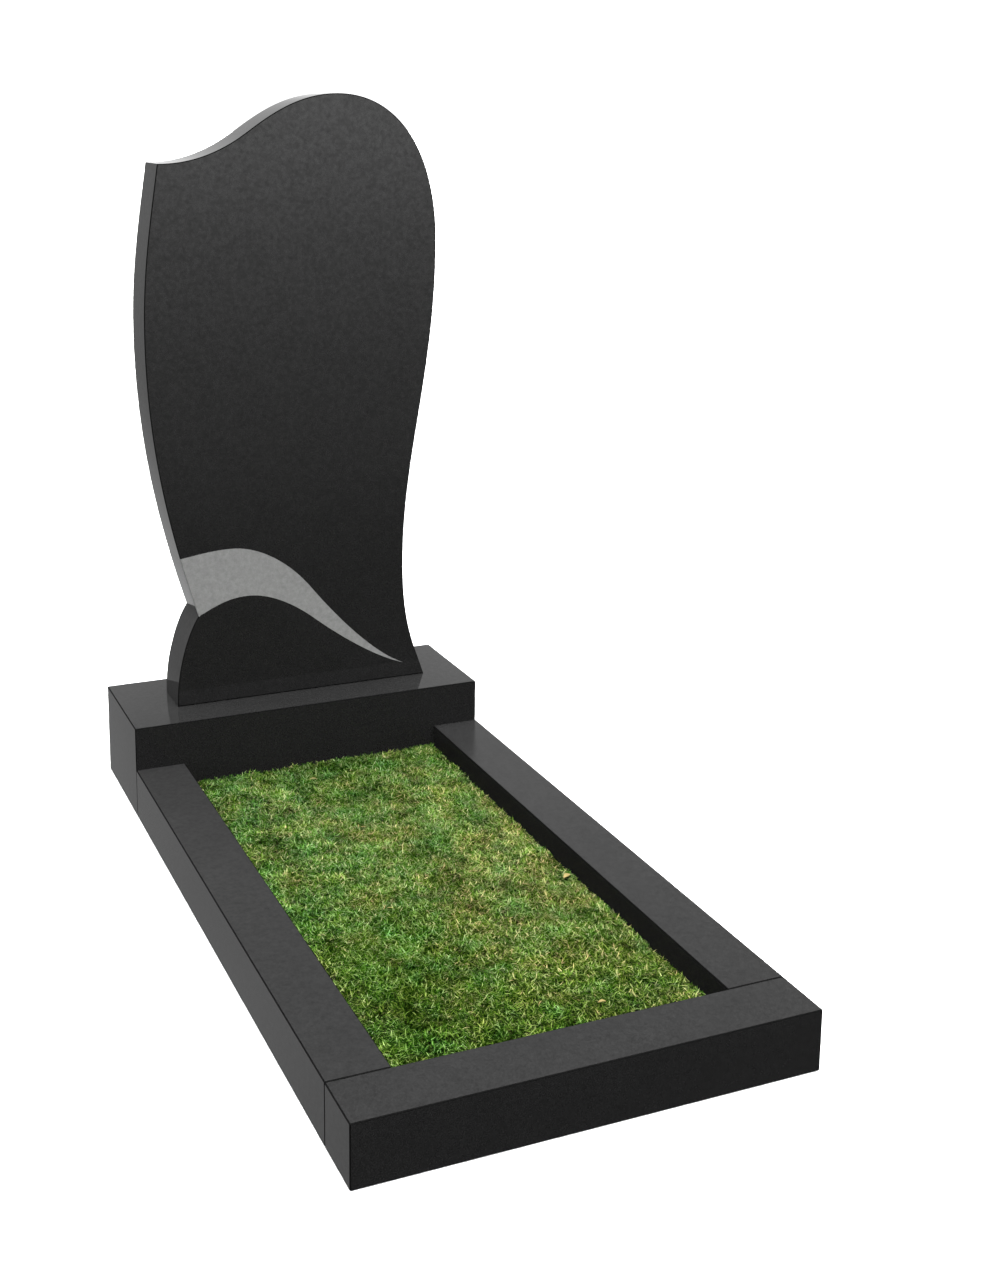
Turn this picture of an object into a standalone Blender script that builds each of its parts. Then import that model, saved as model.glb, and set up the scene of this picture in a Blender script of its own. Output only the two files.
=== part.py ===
"""Grave monument: a wave-edged granite stele on a plinth, with a kerb frame around a bed of turf.

Metres, +Z up. The origin is the middle of the footprint, on the ground. The front faces -Y.
"""

import bmesh
import bpy
from mathutils import Vector
from mathutils.geometry import interpolate_bezier

# Footprint
GRAVE_WIDTH = 0.600
GRAVE_LENGTH = 1.200

# Plinth and kerbs
PLINTH_DEPTH = 0.210
PLINTH_HEIGHT = 0.150
KERB_WIDTH = 0.080
KERB_HEIGHT = 0.080

# Stele, which stands back from the plinth's front edge
STELE_WIDTH = 0.500
STELE_HEIGHT = 1.000
STELE_THICKNESS = 0.080
STELE_SETBACK = 0.070

# Bed of turf, whose top lies below the top of the kerbs
TURF_DROP = 0.028
TURF_CLEARANCE = 0.001
TURF_EDGE = 0.006

# Small dressed edge of every stone, and the dry joint between two of them
ARRIS = 0.002
JOINT = 0.0003

# Straight pieces in each stretch of the stele's curves
CURVE_STEPS = 14

# The stele's outline from its left foot round to its right foot, seen from the front.
# Each knot is (handle before, point, handle after), across and up, as shares of its width and height.
OUTLINE = {
    "left foot": (None, (-0.422, 0.000), (-0.424, 0.058)),
    "notch": ((-0.386, 0.122), (-0.345, 0.152), (-0.366, 0.186)),
    "shoulder of the wave": ((-0.386, 0.219), (-0.403, 0.253), (-0.464, 0.369)),
    "left bulge": ((-0.500, 0.488), (-0.500, 0.620), (-0.500, 0.720)),
    "left corner": ((-0.475, 0.791), (-0.444, 0.892), (-0.342, 0.891)),
    "saddle": ((-0.257, 0.906), (-0.180, 0.930), (-0.108, 0.953)),
    "crown": ((-0.002, 1.000), (0.155, 1.000), (0.363, 1.000)),
    "right bulge": ((0.500, 0.908), (0.500, 0.756), (0.500, 0.534)),
    "waist": ((0.383, 0.399), (0.383, 0.207), (0.383, 0.099)),
    "right foot": ((0.420, 0.062), (0.462, 0.000), None),
}

# Lower and upper edge of the honed wave, from the outline to its tip near the right foot
WAVE_TIP = (0.385, 0.025)
WAVE_LOWER = (
    (None, OUTLINE["notch"][1], (-0.276, 0.169)),
    ((-0.239, 0.178), (-0.175, 0.178), (-0.093, 0.178)),
    ((-0.006, 0.152), (0.059, 0.125), (0.137, 0.093)),
    ((0.280, 0.041), WAVE_TIP, None),
)
WAVE_UPPER = (
    (None, OUTLINE["shoulder of the wave"][1], (-0.345, 0.257)),
    ((-0.300, 0.262), (-0.231, 0.262), (-0.139, 0.262)),
    ((-0.034, 0.231), (0.042, 0.184), (0.121, 0.134)),
    ((0.265, 0.051), WAVE_TIP, None),
)


def clear_scene():
    for obj in list(bpy.data.objects):
        bpy.data.objects.remove(obj, do_unlink=True)


def make_material(name, colour, roughness):
    material = bpy.data.materials.new(name)
    material.use_nodes = True
    shader = material.node_tree.nodes["Principled BSDF"]
    shader.inputs["Base Color"].default_value = (*colour, 1.0)
    shader.inputs["Roughness"].default_value = roughness
    shader.inputs["Metallic"].default_value = 0.0
    return material


def add_object(name, bm, materials):
    """Turns a finished bmesh into an object with the given material slots."""
    mesh = bpy.data.meshes.new(name)
    bm.to_mesh(mesh)
    bm.free()
    for material in materials:
        mesh.materials.append(material)
    obj = bpy.data.objects.new(name, mesh)
    bpy.context.scene.collection.objects.link(obj)
    return obj


def add_block(name, low, high, edge, material):
    """A dressed block between two corners, with every edge taken off by a small bevel."""
    low, high = Vector(low), Vector(high)
    bm = bmesh.new()
    bmesh.ops.create_cube(bm, size=1.0)
    bmesh.ops.scale(bm, vec=high - low, verts=bm.verts)
    obj = add_object(name, bm, [material])
    obj.location = (low + high) / 2
    bevel = obj.modifiers.new("Arris", "BEVEL")
    bevel.width = edge
    bevel.segments = 1
    bevel.limit_method = "NONE"
    return obj


def add_turf(low, high, edge, material):
    """The bed: a slab on the ground whose top edge is softly rounded."""
    low, high = Vector(low), Vector(high)
    bm = bmesh.new()
    bmesh.ops.create_cube(bm, size=1.0)
    bmesh.ops.scale(bm, vec=high - low, verts=bm.verts)
    bmesh.ops.translate(bm, vec=(low + high) / 2, verts=bm.verts)
    middle_z = (low.z + high.z) / 2
    top_edges = [e for e in bm.edges if all(v.co.z > middle_z for v in e.verts)]
    bmesh.ops.bevel(
        bm,
        geom=top_edges,
        offset=edge,
        offset_type="OFFSET",
        segments=3,
        profile=0.5,
        affect="EDGES",
        material=-1,
    )
    return add_object("turf", bm, [material])


def curve_points(knots, base):
    """Points along a chain of Bezier knots, on the stele's front plane with its foot at the base."""
    scaled = []
    for knot in knots:
        scaled.append([p and base + Vector((p[0] * STELE_WIDTH, 0, p[1] * STELE_HEIGHT)) for p in knot])
    points = [scaled[0][1]]
    for start, end in zip(scaled, scaled[1:]):
        points += interpolate_bezier(start[1], start[2], end[0], end[1], CURVE_STEPS + 1)[1:]
    return points


def nearest(verts, point):
    return min(verts, key=lambda vert: (vert.co - point).length)


def add_stele(front_y, base_z, polished, honed):
    """The slab: its outline extruded to its thickness, both faces with an arris, the wave cut into the front face."""
    base = Vector((0, front_y + ARRIS, base_z))
    bm = bmesh.new()
    rim = [bm.verts.new(point) for point in curve_points(OUTLINE.values(), base)]
    front = bm.faces.new(rim)
    body = bmesh.ops.extrude_face_region(bm, geom=[front])
    back_verts = [item for item in body["geom"] if isinstance(item, bmesh.types.BMVert)]
    back = next(item for item in body["geom"] if isinstance(item, bmesh.types.BMFace))
    bmesh.ops.translate(bm, vec=(0, STELE_THICKNESS - 2 * ARRIS, 0), verts=back_verts)
    front = next(f for f in bm.faces if len(f.verts) == len(rim) and f is not back)
    bmesh.ops.recalc_face_normals(bm, faces=bm.faces)
    bmesh.ops.inset_individual(bm, faces=[front, back], thickness=ARRIS, depth=ARRIS, use_even_offset=True)
    base.y = front_y
    lower = curve_points(WAVE_LOWER, base)
    upper = curve_points(WAVE_UPPER, base)
    start = nearest(front.verts, lower[0])
    end = nearest(front.verts, upper[0])
    path = lower[1:] + upper[-2:0:-1]
    other, _ = bmesh.utils.face_split(front, start, end, coords=path)
    wave = min((front, other), key=lambda face: face.calc_area())
    wave.material_index = 1
    return add_object("stele", bm, [polished, honed])


def build():
    clear_scene()
    polished = make_material("polished black granite", (0.014, 0.014, 0.015), 0.08)
    honed = make_material("honed black granite", (0.26, 0.26, 0.26), 0.65)
    lawn = make_material("turf", (0.10, 0.15, 0.04), 0.9)

    half_width = GRAVE_WIDTH / 2
    front_y = -GRAVE_LENGTH / 2
    back_y = GRAVE_LENGTH / 2
    plinth_front_y = back_y - PLINTH_DEPTH
    bed_front_y = front_y + KERB_WIDTH
    bed_half_width = half_width - KERB_WIDTH
    turf_top = KERB_HEIGHT - TURF_DROP

    add_block(
        "plinth",
        (-half_width, plinth_front_y, 0),
        (half_width, back_y, PLINTH_HEIGHT),
        ARRIS,
        polished,
    )
    add_block(
        "front_kerb",
        (-half_width, front_y, 0),
        (half_width, bed_front_y, KERB_HEIGHT),
        ARRIS,
        polished,
    )
    for name, inner_x, outer_x in (
        ("left_kerb", -bed_half_width, -half_width),
        ("right_kerb", bed_half_width, half_width),
    ):
        add_block(
            name,
            (min(inner_x, outer_x), bed_front_y + JOINT, 0),
            (max(inner_x, outer_x), plinth_front_y - JOINT, KERB_HEIGHT),
            ARRIS,
            polished,
        )
    add_turf(
        (-bed_half_width + TURF_CLEARANCE, bed_front_y + TURF_CLEARANCE, 0),
        (bed_half_width - TURF_CLEARANCE, plinth_front_y - TURF_CLEARANCE, turf_top),
        TURF_EDGE,
        lawn,
    )
    add_stele(plinth_front_y + STELE_SETBACK, PLINTH_HEIGHT + JOINT, polished, honed)


build()
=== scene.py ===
import math
import random

import bmesh
import bpy
from mathutils import Matrix, Vector, noise
from mathutils.geometry import interpolate_bezier


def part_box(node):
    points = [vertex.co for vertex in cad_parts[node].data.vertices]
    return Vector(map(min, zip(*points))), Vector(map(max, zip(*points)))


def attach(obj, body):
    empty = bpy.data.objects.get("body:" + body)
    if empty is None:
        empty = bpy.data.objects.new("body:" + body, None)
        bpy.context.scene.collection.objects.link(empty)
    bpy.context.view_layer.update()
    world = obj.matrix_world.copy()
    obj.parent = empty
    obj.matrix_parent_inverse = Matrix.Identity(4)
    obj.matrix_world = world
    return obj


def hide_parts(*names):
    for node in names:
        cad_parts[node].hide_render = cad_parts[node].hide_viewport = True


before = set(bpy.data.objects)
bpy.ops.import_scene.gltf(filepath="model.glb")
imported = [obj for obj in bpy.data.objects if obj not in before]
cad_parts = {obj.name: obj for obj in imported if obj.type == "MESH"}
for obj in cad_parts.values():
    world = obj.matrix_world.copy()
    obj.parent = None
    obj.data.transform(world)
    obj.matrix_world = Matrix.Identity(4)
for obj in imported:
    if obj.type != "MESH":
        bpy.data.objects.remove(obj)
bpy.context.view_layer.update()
print("frame loaded,", len(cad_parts), "nodes")

# Camera: the photograph's viewing angle, with verticals kept nearly upright by a small shift
cameraView = {
    "place": (-0.8285, -2.0417, 1.1411),
    "turn": 21.52,  # degrees from straight ahead towards the right
    "tilt": 11.27,  # degrees below the horizon
    "lens": 45.66,
    "shift": (0.09, -0.17),
}


def addCamera(view):
    data = bpy.data.cameras.new("Camera")
    data.lens = view["lens"]
    data.shift_x, data.shift_y = view["shift"]
    data.dof.use_dof = False
    camera = bpy.data.objects.new("Camera", data)
    camera.location = view["place"]
    camera.rotation_euler = (math.radians(90 - view["tilt"]), 0, math.radians(-view["turn"]))
    bpy.context.scene.collection.objects.link(camera)
    bpy.context.scene.camera = camera


addCamera(cameraView)
print("camera placed")

# Small helpers shared by the pieces
noiseReach = (0.3, 0.7)  # nearly all of a noise's values lie between these
flatFaceWeight = 100  # how far the larger faces set the shading at an arris


def startMaterial(name):
    material = bpy.data.materials.new(name)
    material.use_nodes = True
    tree = material.node_tree
    return material, tree, tree.nodes["Principled BSDF"]


def addNode(tree, kind, **settings):
    node = tree.nodes.new(kind)
    for key, value in settings.items():
        setattr(node, key, value)
    return node


def objectCoords(tree):
    return addNode(tree, "ShaderNodeTexCoord").outputs["Object"]


def addNoise(tree, coords, size, detail=3.0, rough=0.55):
    node = addNode(tree, "ShaderNodeTexNoise")
    node.inputs["Scale"].default_value = 1 / size  # size of a patch in metres
    node.inputs["Detail"].default_value = detail
    node.inputs["Roughness"].default_value = rough
    tree.links.new(coords, node.inputs["Vector"])
    return node.outputs["Fac"]


def addCells(tree, coords, size):
    node = addNode(tree, "ShaderNodeTexVoronoi")
    node.inputs["Scale"].default_value = 1 / size
    tree.links.new(coords, node.inputs["Vector"])
    return node.outputs["Color"]


def spread(tree, source, low, high, fromLow=0.0, fromHigh=1.0):
    node = addNode(tree, "ShaderNodeMapRange")
    for name, value in (("From Min", fromLow), ("From Max", fromHigh), ("To Min", low), ("To Max", high)):
        node.inputs[name].default_value = value
    tree.links.new(source, node.inputs["Value"])
    return node.outputs["Result"]


def combine(tree, operation, first, second):
    node = addNode(tree, "ShaderNodeMath", operation=operation)
    for source, socket in ((first, node.inputs[0]), (second, node.inputs[1])):
        if isinstance(source, float):
            socket.default_value = source
        else:
            tree.links.new(source, socket)
    return node.outputs["Value"]


def addRamp(tree, source, stops):
    node = addNode(tree, "ShaderNodeValToRGB")
    ramp = node.color_ramp
    while len(ramp.elements) < len(stops):
        ramp.elements.new(1.0)
    for element, (place, colour) in zip(ramp.elements, stops):
        element.position = place
        element.color = (*colour, 1.0)
    tree.links.new(source, node.inputs["Fac"])
    return node.outputs["Color"]


def mixColours(tree, share, first, second, blend="MIX"):
    node = addNode(tree, "ShaderNodeMix", data_type="RGBA", blend_type=blend)
    factor, colourA, colourB = node.inputs[0], node.inputs[6], node.inputs[7]
    for source, socket in ((share, factor), (first, colourA), (second, colourB)):
        if isinstance(source, (float, tuple)):
            socket.default_value = source
        else:
            tree.links.new(source, socket)
    return node.outputs[2]  # the colour result


def addBump(tree, shader, source, strength, depth):
    node = addNode(tree, "ShaderNodeBump")
    node.inputs["Strength"].default_value = strength
    node.inputs["Distance"].default_value = depth
    tree.links.new(source, node.inputs["Height"])
    tree.links.new(node.outputs["Normal"], shader.inputs["Normal"])


def finishPiece(name, bm, materials, sharpAngle=35, weighted=True):
    mesh = bpy.data.meshes.new(name)
    bm.to_mesh(mesh)
    bm.free()
    for material in materials:
        mesh.materials.append(material)
    mesh.shade_smooth()
    mesh.set_sharp_from_angle(angle=math.radians(sharpAngle))
    piece = bpy.data.objects.new(name, mesh)
    bpy.context.scene.collection.objects.link(piece)
    if weighted:  # keeps the large flat faces flat beside their rounded arrises
        modifier = piece.modifiers.new("Flat faces", "WEIGHTED_NORMAL")
        modifier.keep_sharp = True
        modifier.weight = flatFaceWeight
    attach(piece, "root")
    return piece


# Granite: near-black and fine-grained, polished, honed on the wave and matt on the arrises, which carry a
# painted dark line
graniteLook = {
    "base": 0.0155,
    "cloudSize": 0.050,
    "cloudRange": (0.96, 1.04),
    "mottleSize": 0.0075,
    "mottleRange": (0.88, 1.12),
    "crystalSize": 0.0017,
    "crystalRange": (0.80, 1.20),
    "grainReach": (0.7, 1.3),
    "speckle": (0.38, 0.62),  # the crystals take the polish unevenly
    "ripple": 0.10,  # slight waviness that a polishing head leaves
    "rippleDepth": 0.0002,
}
mirrorRoughness = (0.05, 0.10)
satinRoughness = (0.18, 0.24)
softRoughness = (0.27, 0.33)
honedLook = {
    "base": 0.25,
    "mottleSize": 0.009,
    "mottleRange": (0.85, 1.15),
    "grainSize": 0.0016,
    "grainRange": (0.91, 1.09),
    "roughness": (0.56, 0.68),
    "relief": 0.25,
    "reliefDepth": 0.0004,
}
arrisLook = {
    # darker than the polished stone: a painted dark line along the arrises
    "base": (0.002, 0.005),
    "grainSize": 0.003,
    "roughness": (0.60, 0.75),
    "shine": 0.1,
    "relief": 0.2,
    "reliefDepth": 0.0003,
}


def makePolished(name, look, roughness):
    material, tree, shader = startMaterial(name)
    coords = objectCoords(tree)
    clouds = addNoise(tree, coords, look["cloudSize"], detail=2.0)
    clouds = spread(tree, clouds, *look["cloudRange"], *noiseReach)
    mottle = addNoise(tree, coords, look["mottleSize"], detail=4.0, rough=0.65)
    crystals = spread(tree, addCells(tree, coords, look["crystalSize"]), *look["crystalRange"])
    grain = combine(tree, "MULTIPLY", spread(tree, mottle, *look["mottleRange"], *noiseReach), crystals)
    stone = combine(tree, "MULTIPLY", combine(tree, "MULTIPLY", clouds, grain), look["base"])
    tree.links.new(stone, shader.inputs["Base Color"])
    tree.links.new(spread(tree, grain, *roughness, *look["grainReach"]), shader.inputs["Roughness"])
    polish = addNoise(tree, coords, look["mottleSize"], detail=2.0, rough=0.7)
    tree.links.new(spread(tree, polish, *look["speckle"], *noiseReach), shader.inputs["Specular IOR Level"])
    addBump(tree, shader, mottle, look["ripple"], look["rippleDepth"])
    return material


def makeHoned(look):
    material, tree, shader = startMaterial("honed granite")
    coords = objectCoords(tree)
    mottle = addNoise(tree, coords, look["mottleSize"], detail=4.0, rough=0.6)
    grain = spread(tree, addCells(tree, coords, look["grainSize"]), *look["grainRange"])
    both = combine(tree, "MULTIPLY", spread(tree, mottle, *look["mottleRange"], *noiseReach), grain)
    tree.links.new(combine(tree, "MULTIPLY", both, look["base"]), shader.inputs["Base Color"])
    tree.links.new(spread(tree, both, *look["roughness"], *look["mottleRange"]), shader.inputs["Roughness"])
    addBump(tree, shader, both, look["relief"], look["reliefDepth"])
    return material


def makeArris(look):
    material, tree, shader = startMaterial("granite arris painted dark")
    grain = addNoise(tree, objectCoords(tree), look["grainSize"], detail=4.0, rough=0.65)
    tree.links.new(spread(tree, grain, *look["base"], *noiseReach), shader.inputs["Base Color"])
    tree.links.new(spread(tree, grain, *look["roughness"], *noiseReach), shader.inputs["Roughness"])
    shader.inputs["Specular IOR Level"].default_value = look["shine"]
    addBump(tree, shader, grain, look["relief"], look["reliefDepth"])
    return material


polished = makePolished("polished black granite", graniteLook, mirrorRoughness)
satin = makePolished("satin black granite", graniteLook, satinRoughness)
soft = makePolished("soft black granite", graniteLook, softRoughness)
honed = makeHoned(honedLook)
# The arrises are painted darker than the stone, a painted dark line along every edge
arrisPaintedDark = makeArris(arrisLook)
print("granite materials made")

# Plinth and kerbs: sawn blocks with a fine arris
blockShape = {"arris": 0.0015, "arrisSteps": 3}


def addBlock(name, node, stone, topStone, shape):
    low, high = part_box(node)
    bm = bmesh.new()
    bmesh.ops.create_cube(bm, size=1.0)
    bmesh.ops.scale(bm, vec=high - low, verts=bm.verts)
    bmesh.ops.translate(bm, vec=(low + high) / 2, verts=bm.verts)
    rounded = bmesh.ops.bevel(
        bm,
        geom=bm.edges[:],
        offset=shape["arris"],
        segments=shape["arrisSteps"],
        profile=0.5,
        affect="EDGES",
        material=-1,
    )
    # the rounded arrises take the painted dark line
    for face in rounded["faces"]:
        face.material_index = 1
    top = max(bm.faces, key=lambda face: face.calc_center_median().z)
    top.material_index = 2
    piece = finishPiece(name, bm, [stone, arrisPaintedDark, topStone], sharpAngle=40)
    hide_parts(node)
    return piece


for name, node, stone, topStone in (
    ("plinthBlock", "plinth", polished, polished),
    ("leftKerbBar", "left_kerb", satin, soft),
    ("rightKerbBar", "right_kerb", satin, satin),
    ("frontKerbBar", "front_kerb", satin, satin),
):
    block = addBlock(name, node, stone, topStone, blockShape)
    block.visible_glossy = stone is polished  # the kerbs do not show in the plinth
print("plinth and kerbs made")

# Stele: the outline's knots are (handle before, point, handle after), as shares of its width and height
steleShape = {"curveSteps": 40, "arris": 0.0015, "arrisSteps": 3}
steleOutline = {
    "left foot": (None, (-0.422, 0.000), (-0.424, 0.058)),
    "notch": ((-0.386, 0.122), (-0.345, 0.152), (-0.366, 0.186)),
    "wave shoulder": ((-0.386, 0.219), (-0.403, 0.253), (-0.464, 0.369)),
    "left bulge": ((-0.500, 0.488), (-0.500, 0.620), (-0.500, 0.720)),
    "left corner": ((-0.475, 0.791), (-0.444, 0.892), (-0.342, 0.891)),
    "saddle": ((-0.257, 0.906), (-0.180, 0.930), (-0.108, 0.953)),
    "crown": ((-0.002, 1.000), (0.155, 1.000), (0.363, 1.000)),
    "right bulge": ((0.500, 0.908), (0.500, 0.756), (0.500, 0.534)),
    "waist": ((0.383, 0.399), (0.383, 0.207), (0.383, 0.099)),
    "right foot": ((0.420, 0.062), (0.462, 0.000), None),
}
waveTip = (0.385, 0.025)
waveLower = (
    (None, steleOutline["notch"][1], (-0.276, 0.169)),
    ((-0.239, 0.178), (-0.175, 0.178), (-0.093, 0.178)),
    ((-0.006, 0.152), (0.059, 0.125), (0.137, 0.093)),
    ((0.280, 0.041), waveTip, None),
)
waveUpper = (
    (None, steleOutline["wave shoulder"][1], (-0.345, 0.257)),
    ((-0.300, 0.262), (-0.231, 0.262), (-0.139, 0.262)),
    ((-0.034, 0.231), (0.042, 0.184), (0.121, 0.134)),
    ((0.265, 0.051), waveTip, None),
)


def curvePoints(knots, low, high, steps):
    width, height = high.x - low.x, high.z - low.z
    centre = Vector(((low.x + high.x) / 2, low.y, low.z))
    scaled = []
    for knot in knots:
        scaled.append([p and centre + Vector((p[0] * width, 0, p[1] * height)) for p in knot])
    points = [scaled[0][1]]
    for start, end in zip(scaled, scaled[1:]):
        points += interpolate_bezier(start[1], start[2], end[0], end[1], steps + 1)[1:]
    return points


def nearestVert(verts, point):
    return min(verts, key=lambda vert: (vert.co - point).length)


def extrudeSlab(low, high, steps):
    bm = bmesh.new()
    rim = [bm.verts.new(point) for point in curvePoints(steleOutline.values(), low, high, steps)]
    front = bm.faces.new(rim)
    body = bmesh.ops.extrude_face_region(bm, geom=[front])
    backVerts = [item for item in body["geom"] if isinstance(item, bmesh.types.BMVert)]
    bmesh.ops.translate(bm, vec=(0, high.y - low.y, 0), verts=backVerts)
    bmesh.ops.recalc_face_normals(bm, faces=bm.faces)
    return bm


def roundRims(bm, low, high, shape):
    rims = [edge for edge in bm.edges if abs(edge.verts[0].co.y - edge.verts[1].co.y) < 1e-6]
    rounded = bmesh.ops.bevel(
        bm,
        geom=rims,
        offset=shape["arris"],
        segments=shape["arrisSteps"],
        profile=0.5,
        affect="EDGES",
        material=-1,
    )
    middle = (low + high) / 2
    waveEnds = [steleOutline[knot][1][1] * (high.z - low.z) + low.z for knot in ("notch", "wave shoulder")]
    # the rounded arrises take the painted dark line, except beside the wave
    for face in rounded["faces"]:
        centre = face.calc_center_median()
        frontLeft = centre.x < middle.x and centre.y < middle.y
        besideWave = frontLeft and waveEnds[0] < centre.z < waveEnds[1]
        face.material_index = 1 if besideWave else 2  # the arris beside the wave is honed with it


def cutWave(bm, low, high, steps):
    front = min(bm.faces, key=lambda face: face.normal.y * face.calc_area())
    lower = curvePoints(waveLower, low, high, steps)
    upper = curvePoints(waveUpper, low, high, steps)
    start = nearestVert(front.verts, lower[0])
    end = nearestVert(front.verts, upper[0])
    other, _ = bmesh.utils.face_split(front, start, end, coords=lower[1:] + upper[-2:0:-1])
    wave = min((front, other), key=lambda face: face.calc_area())
    wave.material_index = 1


def addStele(shape):
    low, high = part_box("stele")
    bm = extrudeSlab(low, high, shape["curveSteps"])
    roundRims(bm, low, high, shape)
    cutWave(bm, low, high, shape["curveSteps"])
    piece = finishPiece("steleSlab", bm, [polished, honed, arrisPaintedDark], sharpAngle=32)
    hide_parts("stele")


addStele(steleShape)
print("stele made")

# Bed of turf: dark soil with short grass growing out of it in tufts
turfShape = {
    "grassHeight": 0.009,  # how far the soil lies below the top of the turf
    "soilCell": 0.012,
    "soilRelief": 0.0022,
    "strips": 5,
    "tuftSpacing": 0.0074,
    "tuftVariants": 5,
    "tuftPlace": (0.05, 0.95),  # where a tuft stands in its own cell of the bed
    "tuftScale": (0.85, 1.12),
    "mownEdge": 0.007,  # the mower leaves the edges shorter
    "mownScale": 0.8,
    "edgeGap": 0.0008,
    "seed": 7,
}
# Patches of the lawn, in layers of (strength, size in metres, offset that makes each layer its own)
soilBumps = ((1.0, 0.045, 5.5), (0.5, 0.017, 9.9))
darkPatches = ((0.7, 0.055, 3.1), (0.6, 0.018, 8.7))
dryPatches = ((1.0, 0.075, 21.4), (0.5, 0.026, 15.2))
lushPatches = ((0.35, 0.014, 30.7),)
lawnMix = {"chance": (-0.3, 0.3), "darkAbove": 0.42, "dryAbove": 0.32, "creepingShare": 0.75}
# Tufts: each blade's measures are drawn from these ranges, and its root's height is above the soil
tuftKinds = {
    "upright": {
        "blades": 32,
        "reach": 0.0066,  # radius of the tuft
        "root": (-0.001, 0.002),
        "length": (0.0035, 0.0075),
        "width": (0.0007, 0.0012),
        "lean": (10, 65),  # degrees, as the curl is
        "curl": (10, 70),
        "tone": (0.05, 1.00),
    },
    "creeping": {
        "blades": 37,
        "reach": 0.0076,
        "root": (-0.001, 0.006),
        "length": (0.0045, 0.0095),
        "width": (0.0007, 0.0013),
        "lean": (58, 92),
        "curl": (-20, 30),
        "tone": (0.02, 1.00),
    },
    "dark": {
        "blades": 38,
        "reach": 0.0066,
        "root": (-0.001, 0.003),
        "length": (0.0035, 0.0070),
        "width": (0.0010, 0.0017),
        "lean": (25, 88),
        "curl": (5, 50),
        "tone": (0.00, 0.70),
    },
    "yellowed": {
        "blades": 34,
        "reach": 0.0076,
        "root": (-0.001, 0.005),
        "length": (0.0045, 0.0100),
        "width": (0.0007, 0.0011),
        "lean": (45, 88),
        "curl": (-10, 40),
        "tone": (0.15, 1.06),
    },
}
# Fallen leaves and wisps: place across and along the bed, heading in degrees, length, width
fallenLeaves = (
    (0.203, -0.137, 20, 0.014, 0.0095),
    (-0.024, 0.318, -15, 0.013, 0.0030),
    (-0.017, 0.127, 70, 0.012, 0.0016),
    (-0.011, 0.121, -20, 0.010, 0.0014),
    (-0.072, -0.124, 50, 0.013, 0.0014),
    (-0.066, -0.130, -35, 0.012, 0.0014),
    (0.089, -0.445, -10, 0.010, 0.0050),
    (0.017, -0.419, 40, 0.012, 0.0014),
)
leafShape = {
    "height": 0.0068,  # above the soil
    "taper": 3.2,
    "arch": 0.12,  # share of the length
    "droop": 6,  # how far the ends hang below the arch
    "cup": 0.25,  # share of the width
}


def growBlade(bm, tone, root, heading, length, width, lean, curl, shade):
    made = bmesh.ops.create_grid(bm, x_segments=1, y_segments=2, size=0.5)["verts"]
    for vert in made:
        along, across = vert.co.y + 0.5, vert.co.x * 2
        angle = lean + curl * along
        outward, upward = math.sin(angle) * along * length, math.cos(angle) * along * length
        side = across * width / 2 * (1 - along * along)
        vert.co = root + Vector(
            (
                math.cos(heading) * outward - math.sin(heading) * side,
                math.sin(heading) * outward + math.cos(heading) * side,
                upward,
            )
        )
        vert[tone] = shade


def makeTuft(kind, rng):
    bm = bmesh.new()
    tone = bm.verts.layers.float.new("tone")
    for _ in range(kind["blades"]):
        around, out = rng.uniform(0, math.tau), kind["reach"] * math.sqrt(rng.random())
        root = Vector((math.cos(around) * out, math.sin(around) * out, rng.uniform(*kind["root"])))
        growBlade(
            bm,
            tone,
            root,
            heading=rng.uniform(0, math.tau),
            length=rng.uniform(*kind["length"]),
            width=rng.uniform(*kind["width"]),
            lean=math.radians(rng.uniform(*kind["lean"])),
            curl=math.radians(rng.uniform(*kind["curl"])),
            shade=rng.uniform(*kind["tone"]),
        )
    bmesh.ops.remove_doubles(bm, verts=bm.verts, dist=1e-6)  # closes each blade at its tip
    mesh = bpy.data.meshes.new("tuft")
    bm.to_mesh(mesh)
    bm.free()
    return mesh


def addFallenLeaf(bm, tone, soilTop, leaf, shape):
    x, y, heading, length, width = leaf
    made = bmesh.ops.create_grid(bm, x_segments=4, y_segments=2, size=0.5)["verts"]
    for vert in made:
        along, across = vert.co.x, vert.co.y * 2
        side = across * width / 2 * (1 - shape["taper"] * along * along)
        arch = shape["arch"] * length * (1 - shape["droop"] * along * along)
        cup = shape["cup"] * width * across * across
        vert.co = Vector((along * length, side, arch + cup))
        vert[tone] = 1.0
    lift = Matrix.Translation((x, y, soilTop + shape["height"]))
    turn = Matrix.Rotation(math.radians(heading), 4, "Z")
    bmesh.ops.transform(bm, matrix=lift @ turn, verts=made)
    for face in {face for vert in made for face in vert.link_faces}:
        face.material_index = 1


def patchAt(x, y, layers):
    total = 0.0
    for strength, size, offset in layers:
        total += strength * noise.noise(Vector((x / size, y / size, offset)))
    return total


def pickKind(x, y, mix, rng):
    dark = patchAt(x, y, darkPatches) + rng.uniform(*mix["chance"])
    dry = patchAt(x, y, dryPatches) + rng.uniform(*mix["chance"])
    if dark > mix["darkAbove"]:
        return "dark"
    if dry > mix["dryAbove"]:
        return "yellowed"
    return "creeping" if rng.random() < mix["creepingShare"] else "upright"


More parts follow.
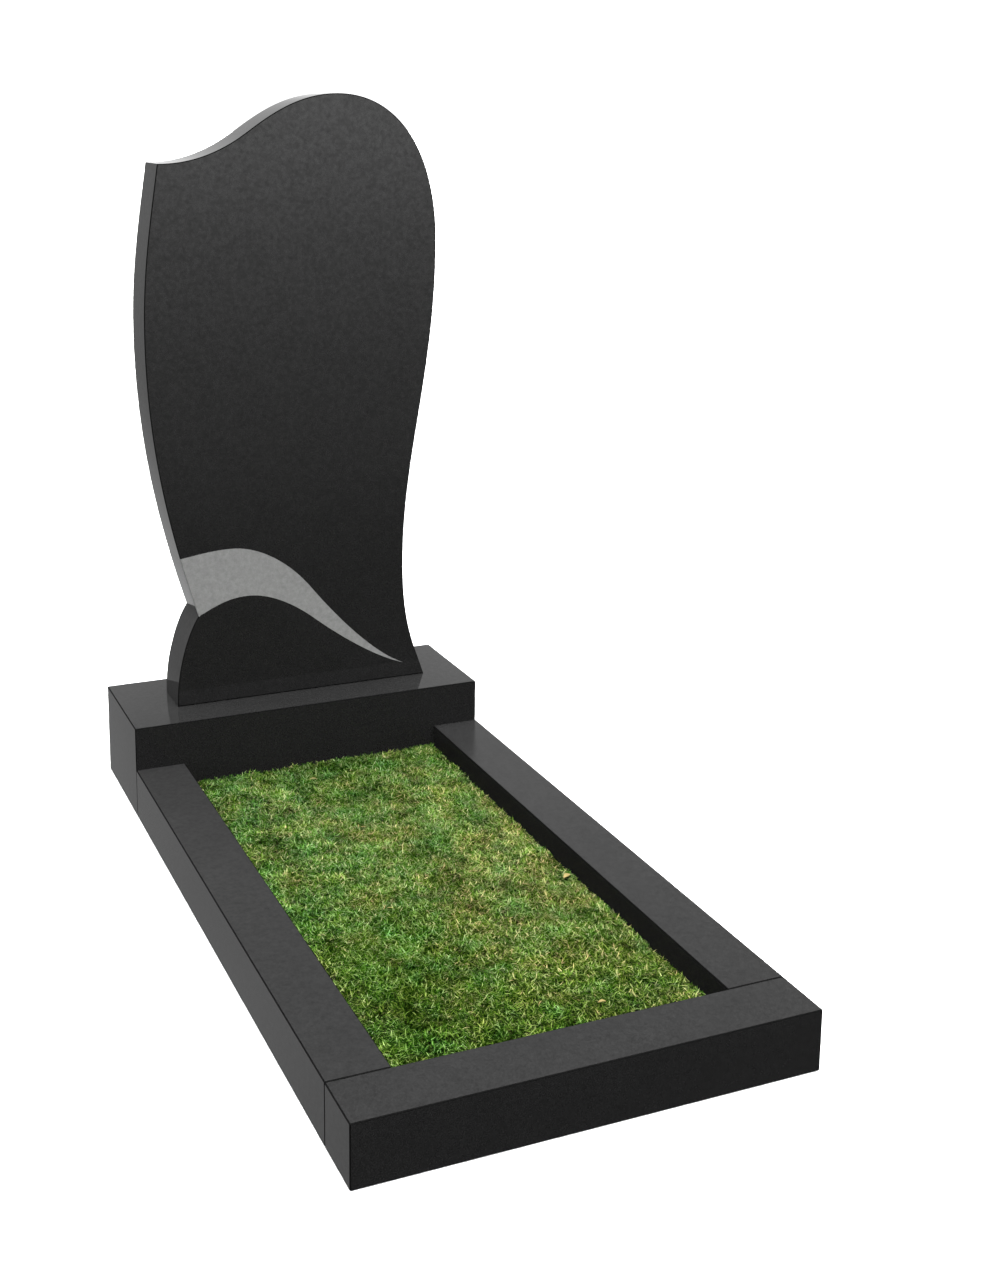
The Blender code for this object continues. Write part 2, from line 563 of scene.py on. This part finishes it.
def addSoil(low, high, soilTop, shape):
    bm = bmesh.new()
    bmesh.ops.create_grid(
        bm,
        x_segments=round((high.x - low.x) / shape["soilCell"]),
        y_segments=round((high.y - low.y) / shape["soilCell"]),
        size=0.5,
    )
    bmesh.ops.scale(bm, vec=(high.x - low.x, high.y - low.y, 1), verts=bm.verts)
    bmesh.ops.translate(bm, vec=((low.x + high.x) / 2, (low.y + high.y) / 2, soilTop), verts=bm.verts)
    body = bmesh.ops.extrude_face_region(bm, geom=bm.faces[:])
    raised = [item for item in body["geom"] if isinstance(item, bmesh.types.BMVert)]
    for vert in set(bm.verts) - set(raised):
        vert.co.z = low.z
    for vert in raised:
        vert.co.z += shape["soilRelief"] * patchAt(vert.co.x, vert.co.y, soilBumps)
    bmesh.ops.recalc_face_normals(bm, faces=bm.faces)
    piece = finishPiece("turfSoil", bm, [soil], weighted=False)
    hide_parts("turf")


def plantTuft(bm, tuft, x, y, soilTop, nearEdge, shape, rng):
    place = Matrix.Translation((x, y, soilTop + shape["soilRelief"] * patchAt(x, y, soilBumps)))
    turn = Matrix.Rotation(rng.uniform(0, math.tau), 4, "Z")
    swell = 1 + patchAt(x, y, lushPatches)
    if nearEdge:
        swell *= shape["mownScale"]
    planted = tuft.copy()
    planted.transform(place @ turn @ Matrix.Scale(swell * rng.uniform(*shape["tuftScale"]), 4))
    bm.from_mesh(planted)
    bpy.data.meshes.remove(planted)


def trimEdges(bm, low, high, gap):
    outside = [
        vert
        for vert in bm.verts
        if not low.x + gap < vert.co.x < high.x - gap or not low.y + gap < vert.co.y < high.y - gap
    ]
    crossing = {face for vert in outside for face in vert.link_faces}
    bmesh.ops.delete(bm, geom=list(crossing), context="FACES")


def addGrass(low, high, soilTop, shape):
    rng = random.Random(shape["seed"])
    tufts = {}
    for name, kind in tuftKinds.items():
        tufts[name] = [makeTuft(kind, rng) for _ in range(shape["tuftVariants"])]
    columns = math.ceil((high.x - low.x) / shape["tuftSpacing"])
    rows = math.ceil((high.y - low.y) / shape["tuftSpacing"] / shape["strips"])
    stripLength = (high.y - low.y) / shape["strips"]
    for strip in range(shape["strips"]):
        bm = bmesh.new()
        startY = low.y + strip * stripLength
        for row in range(rows):
            for column in range(columns):
                x = low.x + (column + rng.uniform(*shape["tuftPlace"])) * (high.x - low.x) / columns
                y = startY + (row + rng.uniform(*shape["tuftPlace"])) * stripLength / rows
                tuft = rng.choice(tufts[pickKind(x, y, lawnMix, rng)])
                nearEdge = min(x - low.x, high.x - x, y - low.y, high.y - y) < shape["mownEdge"]
                plantTuft(bm, tuft, x, y, soilTop, nearEdge, shape, rng)
        tone = bm.verts.layers.float["tone"]
        for leaf in fallenLeaves:
            if 0 <= leaf[1] - startY < stripLength:
                addFallenLeaf(bm, tone, soilTop, leaf, leafShape)
        trimEdges(bm, low, high, shape["edgeGap"])
        materials = [grass, dryLeaf]
        piece = finishPiece(f"grassStrip{strip + 1}", bm, materials, sharpAngle=180, weighted=False)
        piece.visible_glossy = False  # the stone's faces stay black, as in the photograph
        print("grass strip", strip + 1, "made")
    for meshes in tufts.values():
        for mesh in meshes:
            bpy.data.meshes.remove(mesh)


soilLook = {
    "crumbSize": 0.006,
    "colours": ((0.35, (0.005, 0.008, 0.002)), (0.65, (0.022, 0.026, 0.006))),
    "roughness": (0.85, 1.00),
    "relief": 0.7,
    "reliefDepth": 0.002,
}


def makeSoil(look):
    material, tree, shader = startMaterial("soil and thatch")
    crumb = addNoise(tree, objectCoords(tree), look["crumbSize"], detail=5.0, rough=0.7)
    tree.links.new(addRamp(tree, crumb, look["colours"]), shader.inputs["Base Color"])
    tree.links.new(spread(tree, crumb, *look["roughness"]), shader.inputs["Roughness"])
    shader.inputs["Specular IOR Level"].default_value = 0.0
    addBump(tree, shader, crumb, look["relief"], look["reliefDepth"])
    return material


grassLook = {
    # a blade's colour by its tone, from the shade between the tufts up to straw
    "greens": (
        (0.05, (0.0036, 0.0130, 0.0008)),
        (0.28, (0.0150, 0.0430, 0.0027)),
        (0.52, (0.0540, 0.1080, 0.0140)),
        (0.74, (0.1030, 0.1700, 0.0390)),
        (0.93, (0.1800, 0.2450, 0.0930)),
        (1.00, (0.2350, 0.2350, 0.1050)),
    ),
    # each shade is the tone at its two ends, then where those ends lie in metres
    "frontShade": (-0.12, 0.085, -0.46, -0.05),
    "frontSlant": 0.9,  # metres further back for each metre to the left
    # painted shadow of the plinth across the far end of the bed
    "paintedPlinthShadow": (0.09, 0.02, 0.12, 0.36),
    "patchSize": 0.090,
    "patchRange": (-0.08, 0.08),
    # painted shade between the clumps of grass and painted light on them, laid out by noise
    "clumpShadeSize": 0.012,
    "clumpShadeRange": (-0.12, 0.12),
    "coolTint": (0.68, 1.00, 0.96, 1.0),
    "warmTint": (1.28, 0.99, 0.91, 1.0),
    "warmthSize": 0.060,
    "warmthReach": (0.35, 0.65),
    "warmSide": (-0.12, 0.22, -0.20, 0.35),
    "warmSlant": 0.5,  # metres further right for each metre further back
    "rootShadeTipLightCurve": 1.2,  # how late the painted shade at a blade's root gives way to painted light at its tip
    "rootShadeTipLightRange": (0.10, 1.50),
    "roughness": 0.6,
}


def makeGrass(look, soilTop, grassHeight):
    material, tree, shader = startMaterial("grass blades")
    coords = objectCoords(tree)
    tone = addNode(tree, "ShaderNodeAttribute", attribute_name="tone").outputs["Fac"]
    place = addNode(tree, "ShaderNodeSeparateXYZ")
    tree.links.new(coords, place.inputs["Vector"])
    # The bed is darker at its front left, and towards its far end it carries a painted shadow of the plinth
    aslant = combine(tree, "MULTIPLY", place.outputs["X"], look["frontSlant"])
    frontShade = spread(tree, combine(tree, "ADD", place.outputs["Y"], aslant), *look["frontShade"])
    paintedPlinthShadow = spread(tree, place.outputs["Y"], *look["paintedPlinthShadow"])
    patches = spread(tree, addNoise(tree, coords, look["patchSize"]), *look["patchRange"], *noiseReach)
    # Painted shade between the clumps of grass and painted light on them
    clumpShade = addNoise(tree, coords, look["clumpShadeSize"], detail=2.0)
    clumpShade = spread(tree, clumpShade, *look["clumpShadeRange"], *noiseReach)
    broad = combine(tree, "ADD", combine(tree, "MINIMUM", frontShade, paintedPlinthShadow), patches)
    mixed = combine(tree, "ADD", combine(tree, "ADD", tone, broad), clumpShade)
    # It is warmer in patches and towards its front right
    patchy = addNoise(tree, coords, look["warmthSize"], detail=6.0, rough=0.75)
    aside = combine(tree, "MULTIPLY", place.outputs["Y"], look["warmSlant"])
    side = spread(tree, combine(tree, "SUBTRACT", place.outputs["X"], aside), *look["warmSide"])
    warmth = combine(tree, "ADD", spread(tree, patchy, 0.0, 1.0, *look["warmthReach"]), side)
    tint = mixColours(tree, warmth, look["coolTint"], look["warmTint"])
    blade = mixColours(tree, 1.0, addRamp(tree, mixed, look["greens"]), tint, "MULTIPLY")
    # Painted shade darkens each blade towards its root and painted light brightens its tip
    rootShadeTipLight = spread(tree, place.outputs["Z"], 0.0, 1.0, soilTop, soilTop + grassHeight)
    rootShadeTipLight = spread(tree, combine(tree, "POWER", rootShadeTipLight, look["rootShadeTipLightCurve"]), *look["rootShadeTipLightRange"])
    tree.links.new(mixColours(tree, 1.0, blade, rootShadeTipLight, "MULTIPLY"), shader.inputs["Base Color"])
    shader.inputs["Roughness"].default_value = look["roughness"]
    shader.inputs["Specular IOR Level"].default_value = 0.0
    return material


dryLeafLook = {
    "veinSize": 0.003,
    "colours": ((0.3, (0.145, 0.112, 0.038)), (0.7, (0.240, 0.195, 0.085))),
    "roughness": 0.8,
}


def makeDryLeaf(look):
    material, tree, shader = startMaterial("dry leaf")
    veins = addNoise(tree, objectCoords(tree), look["veinSize"])
    tree.links.new(addRamp(tree, veins, look["colours"]), shader.inputs["Base Color"])
    shader.inputs["Roughness"].default_value = look["roughness"]
    shader.inputs["Specular IOR Level"].default_value = 0.0
    return material


turfLow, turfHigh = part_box("turf")
soilTop = turfHigh.z - turfShape["grassHeight"]
soil = makeSoil(soilLook)
grass = makeGrass(grassLook, soilTop, turfShape["grassHeight"])
dryLeaf = makeDryLeaf(dryLeafLook)
addSoil(turfLow, turfHigh, soilTop, turfShape)
addGrass(turfLow, turfHigh, soilTop, turfShape)
print("turf made")

# Stage: pale floor, one soft light overhead and a soft gradient all round
studioLight = {
    "overhead": 12.0,
    "overheadSpread": 50,  # degrees across
    "overheadTurn": (4, 0),
    # brightness of the surround by height above the horizon in degrees
    "aheadRight": (
        (-90, 0.40),
        (-22, 0.60),
        (-2, 0.66),
        (1, 1.15),
        (6, 1.00),
        (12, 0.70),
        (16, 0.60),
        (20, 0.45),
        (22, 0.36),
        (24, 0.30),
        (26.5, 0.23),
        (29, 0.10),
        (33, 0.03),
        (90, 0.02),
    ),
    "aheadLeft": (
        (-90, 0.30),
        (-35, 0.31),
        (-31, 0.36),
        (-28, 0.30),
        (-22, 0.295),
        (-14, 0.265),
        (0, 0.325),
        (20, 0.30),
        (33, 0.20),
        (90, 0.05),
    ),
    "behind": (
        (-90, 0.01),
        (-33, 0.01),
        (-17, 0.03),
        (-15, 0.08),
        (-12, 0.245),
        (-9, 0.37),
        (-5, 0.72),
        (-3, 1.05),
        (0, 1.55),
        (8, 1.10),
        (14, 0.35),
        (24, 0.25),
        (30, 1.10),
        (50, 0.70),
        (90, 0.10),
    ),
    # where one part fades into the next, as components of the direction
    "rightStarts": (-0.20, -0.02),
    "aheadStarts": (-0.5, 0.5),
    "darkEnds": (0.24, 0.38),  # high up ahead it is dark from the middle to here on the right
    "darkStarts": (0.36, 0.40),  # and from this height upwards
    "dark": (0.02, 0.02, 0.02, 1.0),
}
rampScale = 2.0  # a ramp holds no value above one, so it holds halves


def heightRamp(tree, height, stops):
    scaled = []
    for angle, value in stops:
        scaled.append(((math.sin(math.radians(angle)) + 1) / 2, (value / rampScale,) * 3))
    return addRamp(tree, height, scaled)


def addOverhead(light):
    sunData = bpy.data.lights.new("Overhead", "SUN")
    sunData.energy = light["overhead"]
    sunData.angle = math.radians(light["overheadSpread"])
    sun = bpy.data.objects.new("Overhead", sunData)
    sun.rotation_euler = [math.radians(angle) for angle in (*light["overheadTurn"], 0)]
    sun.visible_glossy = False  # polished tops stay black from above
    bpy.context.scene.collection.objects.link(sun)


def addSurround(light):
    world = bpy.data.worlds.new("Studio")
    world.use_nodes = True
    bpy.context.scene.world = world
    tree = world.node_tree
    background = tree.nodes["Background"]
    direction = addNode(tree, "ShaderNodeSeparateXYZ")
    tree.links.new(addNode(tree, "ShaderNodeTexCoord").outputs["Generated"], direction.inputs["Vector"])
    height = spread(tree, direction.outputs["Z"], 0.0, 1.0, -1.0, 1.0)
    right = heightRamp(tree, height, light["aheadRight"])
    left = heightRamp(tree, height, light["aheadLeft"])
    behind = heightRamp(tree, height, light["behind"])
    darkAcross = spread(tree, direction.outputs["X"], 1.0, 0.0, *light["darkEnds"])
    darkUp = spread(tree, direction.outputs["Z"], 0.0, 1.0, *light["darkStarts"])
    right = mixColours(tree, combine(tree, "MULTIPLY", darkAcross, darkUp), right, light["dark"])
    rightShare = spread(tree, direction.outputs["X"], 0.0, 1.0, *light["rightStarts"])
    aheadShare = spread(tree, direction.outputs["Y"], 0.0, 1.0, *light["aheadStarts"])
    ahead = mixColours(tree, rightShare, left, right)
    tree.links.new(mixColours(tree, aheadShare, behind, ahead), background.inputs["Color"])
    background.inputs["Strength"].default_value = rampScale


stageShape = {
    "floorRadius": 60,
    "floorDrop": 0.0005,  # keeps the floor just clear of the stones
    "floorColour": (0.8, 0.8, 0.8, 1.0),
    "floorRoughness": 0.9,
    "backdropRadius": 58,
    "backdropGlow": 1.4,
}


def finishStage(name, bm, material):
    mesh = bpy.data.meshes.new(name)
    bm.to_mesh(mesh)
    bm.free()
    mesh.materials.append(material)
    thing = bpy.data.objects.new(name, mesh)
    thing.visible_glossy = False  # the polished faces mirror the soft surround alone
    thing.visible_diffuse = False
    bpy.context.scene.collection.objects.link(thing)
    return thing


def addFloor(shape):
    material, _, shader = startMaterial("pale floor")
    shader.inputs["Base Color"].default_value = shape["floorColour"]
    shader.inputs["Roughness"].default_value = shape["floorRoughness"]
    shader.inputs["Specular IOR Level"].default_value = 0.0
    bm = bmesh.new()
    bmesh.ops.create_circle(bm, cap_ends=True, segments=96, radius=shape["floorRadius"])
    floor = finishStage("floor", bm, material)
    floor.location.z = -shape["floorDrop"]


def addBackdrop(shape):
    material, _, shader = startMaterial("white backdrop")
    shader.inputs["Base Color"].default_value = (0, 0, 0, 1)
    shader.inputs["Specular IOR Level"].default_value = 0.0
    shader.inputs["Emission Color"].default_value = (1, 1, 1, 1)
    shader.inputs["Emission Strength"].default_value = shape["backdropGlow"]
    bm = bmesh.new()
    bmesh.ops.create_uvsphere(bm, u_segments=96, v_segments=48, radius=shape["backdropRadius"])
    backdrop = finishStage("backdrop", bm, material)
    backdrop.visible_shadow = False


addOverhead(studioLight)
addSurround(studioLight)
addFloor(stageShape)
addBackdrop(stageShape)
bpy.context.scene.view_settings.view_transform = "Standard"
print("stage set")
